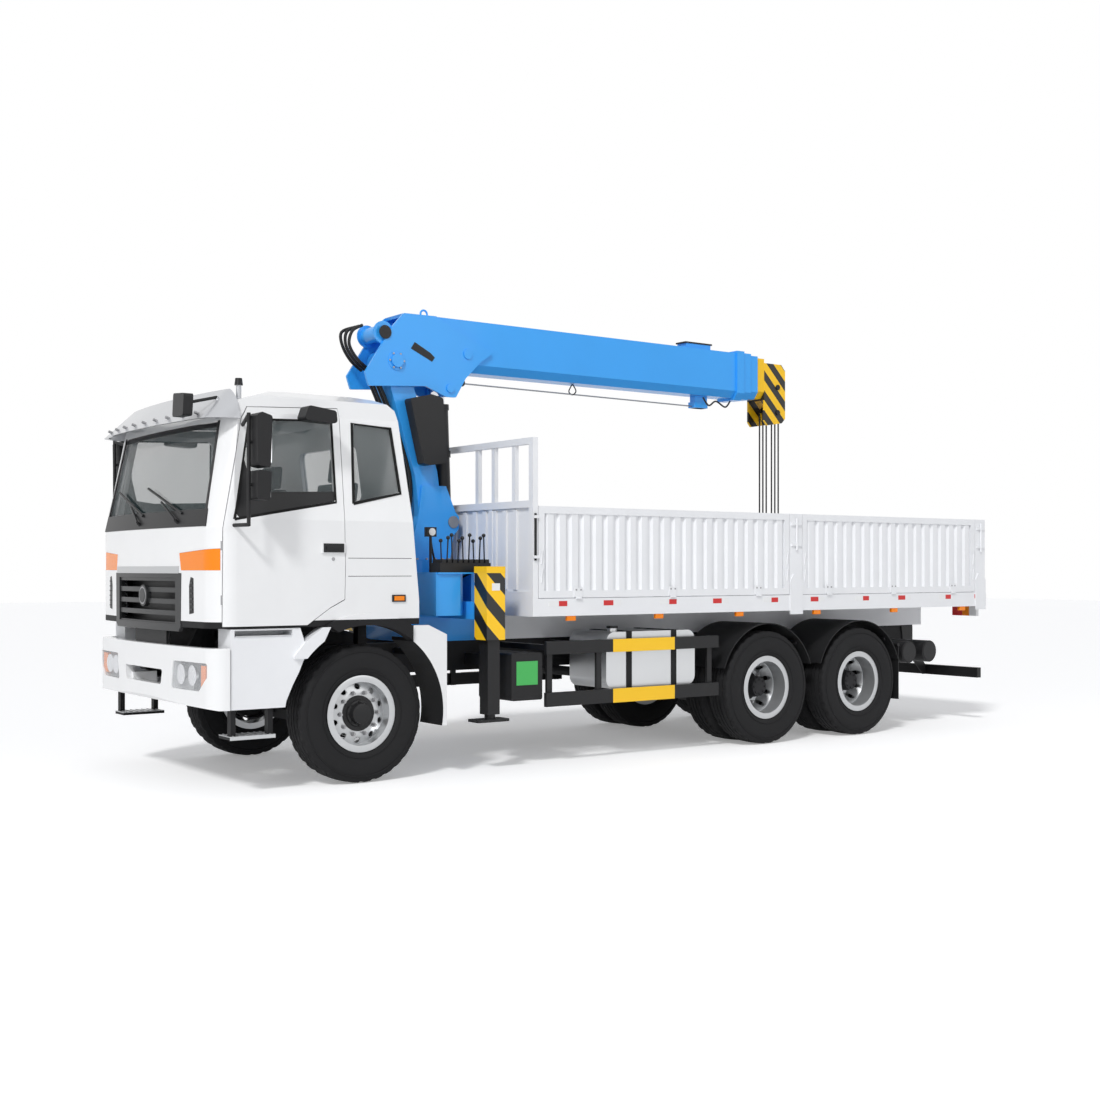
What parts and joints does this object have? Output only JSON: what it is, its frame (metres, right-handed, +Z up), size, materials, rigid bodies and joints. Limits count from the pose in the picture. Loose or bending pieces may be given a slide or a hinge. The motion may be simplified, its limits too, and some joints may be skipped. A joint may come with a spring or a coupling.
{
  "type": "truck-mounted telescopic crane",
  "caption": "Three-axle drop-side truck with a straight telescopic crane and outriggers between its tilting cab and its load bed.",
  "frame": {"origin": "centre of the bounding box at ground level", "axes": "+X towards the cab's front, +Y to the vehicle's left, +Z up"},
  "size_m": [9.185, 3, 4.0149],
  "materials": {
    "tyre": "ribbed tread, matt sidewall",
    "white_paint": "gloss white",
    "crane_blue": "gloss sky blue",
    "black_paint": "satin black",
    "chassis_black": "satin black",
    "black_plastic": "grained black",
    "dark_grey_plastic": "satin dark grey",
    "glass": "clear tinted",
    "lamp_clear": "clear lens over reflector",
    "lamp_amber": "moulded amber lens",
    "silver_visor": "silver grey",
    "aluminium": "brushed sheet",
    "cast_black": "painted casting",
    "chrome_rod": "ground hard chrome",
    "seat_fabric": "woven dark grey",
    "interior_plastic": "grained grey",
    "striped_paint": "yellow and black diagonal stripes"
  },
  "bodies": {
    "chassis": {"axles": "chassis_black", "battery_and_air_tanks": "black_plastic", "bed_floor": "white_paint", "bumper": "white_paint", "chassis_frame": "chassis_black", "control_levers": "black_paint", "crane_base": "crane_blue", "fuel_tank": "aluminium", "guard_bars": "black_paint", "headboard": "white_paint", "lamps": "lamp_clear", "leaf_springs": "chassis_black", "lower_grille": "black_plastic", "mudguards": "black_plastic", "powertrain": "cast_black", "step_boxes": "white_paint"},
    "steer_left": {"knuckle_left": "cast_black"},
    "steer_right": {"knuckle_right": "cast_black"},
    "front_left": {"wheel_front_left": "tyre"},
    "front_right": {"wheel_front_right": "tyre"},
    "mid_left": {"wheels_mid_left": "tyre"},
    "mid_right": {"wheels_mid_right": "tyre"},
    "rear_left": {"wheels_rear_left": "tyre"},
    "rear_right": {"wheels_rear_right": "tyre"},
    "cab": {"cab_back": "white_paint", "cab_floor": "white_paint", "cab_front": "white_paint", "cab_glass": "glass", "cab_roof": "white_paint", "cab_sides": "white_paint", "dashboard": "interior_plastic", "grille": "dark_grey_plastic", "seats": "seat_fabric", "sun_visor": "silver_visor", "turn_lamps": "lamp_amber"},
    "left_door": {"door_left": "white_paint", "door_glass_left": "glass", "mirrors_left": "black_plastic"},
    "right_door": {"door_right": "white_paint", "door_glass_right": "glass", "mirrors_right": "black_plastic"},
    "column": {"crane_column": "crane_blue", "hydraulic_box": "black_paint"},
    "boom": {"boom_base": "crane_blue"},
    "barrel": {"luff_barrel": "black_paint"},
    "rod": {"luff_rod": "chrome_rod"},
    "section_2": {"boom_section_2": "crane_blue"},
    "section_3": {"boom_section_3": "crane_blue"},
    "tip": {"boom_section_4": "crane_blue", "boom_head": "striped_paint"},
    "hook": {"hook_block": "black_paint"},
    "beam_left": {"outrigger_beam_left": "striped_paint"},
    "beam_right": {"outrigger_beam_right": "striped_paint"},
    "leg_left": {"outrigger_leg_left": "black_paint"},
    "leg_right": {"outrigger_leg_right": "black_paint"},
    "board_front_left": {"side_board_front_left": "white_paint"},
    "board_front_right": {"side_board_front_right": "white_paint"},
    "board_rear_left": {"side_board_rear_left": "white_paint"},
    "board_rear_right": {"side_board_rear_right": "white_paint"},
    "tail": {"tailboard": "white_paint"}
  },
  "joints": [
    {"name": "steer_left", "type": "hinge", "parent": "chassis", "child": "steer_left", "pos_m": [3.1325, 0.85, 0.5425], "axis": [0, 0, 1], "range_deg": [-32, 32]},
    {"name": "steer_right", "type": "hinge", "parent": "chassis", "child": "steer_right", "pos_m": [3.1325, -0.85, 0.5425], "axis": [0, 0, 1], "range_deg": [-32, 32]},
    {"name": "roll_front_left", "type": "hinge", "parent": "steer_left", "child": "front_left", "pos_m": [3.1325, 1.005, 0.5425], "axis": [0, 1, 0], "continuous": true},
    {"name": "roll_front_right", "type": "hinge", "parent": "steer_right", "child": "front_right", "pos_m": [3.1325, -1.005, 0.5425], "axis": [0, 1, 0], "continuous": true},
    {"name": "roll_mid_left", "type": "hinge", "parent": "chassis", "child": "mid_left", "pos_m": [-1.2675, 0.885, 0.5425], "axis": [0, 1, 0], "continuous": true},
    {"name": "roll_mid_right", "type": "hinge", "parent": "chassis", "child": "mid_right", "pos_m": [-1.2675, -0.885, 0.5425], "axis": [0, 1, 0], "continuous": true},
    {"name": "roll_rear_left", "type": "hinge", "parent": "chassis", "child": "rear_left", "pos_m": [-2.5675, 0.885, 0.5425], "axis": [0, 1, 0], "continuous": true},
    {"name": "roll_rear_right", "type": "hinge", "parent": "chassis", "child": "rear_right", "pos_m": [-2.5675, -0.885, 0.5425], "axis": [0, 1, 0], "continuous": true},
    {"name": "cab_tilt", "type": "hinge", "parent": "chassis", "child": "cab", "pos_m": [4.3325, 0, 1], "axis": [0, 1, 0], "range_deg": [0, 50]},
    {"name": "left_door", "type": "hinge", "parent": "cab", "child": "left_door", "pos_m": [4.3385, 1.215, 1.7], "axis": [0, 0, -1], "range_deg": [0, 70]},
    {"name": "right_door", "type": "hinge", "parent": "cab", "child": "right_door", "pos_m": [4.3385, -1.215, 1.7], "axis": [0, 0, 1], "range_deg": [0, 70]},
    {"name": "slew", "type": "hinge", "parent": "chassis", "child": "column", "pos_m": [1.9125, 0, 1.7], "axis": [0, 0, 1], "continuous": true},
    {"name": "luff", "type": "hinge", "parent": "column", "child": "boom", "pos_m": [2.2565, 0, 3.5], "axis": [0, 1, 0], "range_deg": [0, 75]},
    {"name": "luff_barrel", "type": "hinge", "parent": "column", "child": "barrel", "pos_m": [1.6575, 0, 2.1], "axis": [0, 1, 0], "range_deg": [0, 5.71]},
    {"name": "luff_rod", "type": "slide", "parent": "barrel", "child": "rod", "axis": [0.0376, 0, 0.9993], "range_m": [0, 0.703]},
    {"name": "extend_2", "type": "slide", "parent": "boom", "child": "section_2", "axis": [-1, 0, 0], "range_m": [0, 2.5]},
    {"name": "extend_3", "type": "slide", "parent": "section_2", "child": "section_3", "axis": [-1, 0, 0], "range_m": [0, 2.5]},
    {"name": "extend_4", "type": "slide", "parent": "section_3", "child": "tip", "axis": [-1, 0, 0], "range_m": [0, 2.5]},
    {"name": "hook_swing", "type": "hinge", "parent": "tip", "child": "hook", "pos_m": [-2.4875, 0, 3.35], "axis": [0, 1, 0], "range_deg": [-75, 0]},
    {"name": "beam_left", "type": "slide", "parent": "chassis", "child": "beam_left", "axis": [0, 1, 0], "range_m": [0, 0.7]},
    {"name": "leg_left", "type": "slide", "parent": "beam_left", "child": "leg_left", "axis": [0, 0, -1], "range_m": [0, 0.4]},
    {"name": "board_front_left", "type": "hinge", "parent": "chassis", "child": "board_front_left", "pos_m": [-0.0175, 1.237, 1.426], "axis": [-1, 0, 0], "range_deg": [0, 175]},
    {"name": "board_rear_left", "type": "hinge", "parent": "chassis", "child": "board_rear_left", "pos_m": [-3.0375, 1.237, 1.426], "axis": [-1, 0, 0], "range_deg": [0, 175]},
    {"name": "beam_right", "type": "slide", "parent": "chassis", "child": "beam_right", "axis": [0, -1, 0], "range_m": [0, 0.7]},
    {"name": "leg_right", "type": "slide", "parent": "beam_right", "child": "leg_right", "axis": [0, 0, -1], "range_m": [0, 0.4]},
    {"name": "board_front_right", "type": "hinge", "parent": "chassis", "child": "board_front_right", "pos_m": [-0.0175, -1.237, 1.426], "axis": [1, 0, 0], "range_deg": [0, 175]},
    {"name": "board_rear_right", "type": "hinge", "parent": "chassis", "child": "board_rear_right", "pos_m": [-3.0375, -1.237, 1.426], "axis": [1, 0, 0], "range_deg": [0, 175]},
    {"name": "tailboard", "type": "hinge", "parent": "chassis", "child": "tail", "pos_m": [-4.5795, 0, 1.426], "axis": [0, -1, 0], "range_deg": [0, 175]}
  ],
  "couplings": [
    {"joint": "steer_right", "follows": "steer_left", "ratio": 1},
    {"joint": "luff_barrel", "follows": "luff", "ratio": 0.075951},
    {"joint": "luff_rod", "follows": "luff", "m_per_rad": 0.5367},
    {"joint": "hook_swing", "follows": "luff", "ratio": -1},
    {"joint": "extend_3", "follows": "extend_2", "ratio": 1},
    {"joint": "extend_4", "follows": "extend_2", "ratio": 1}
  ]
}
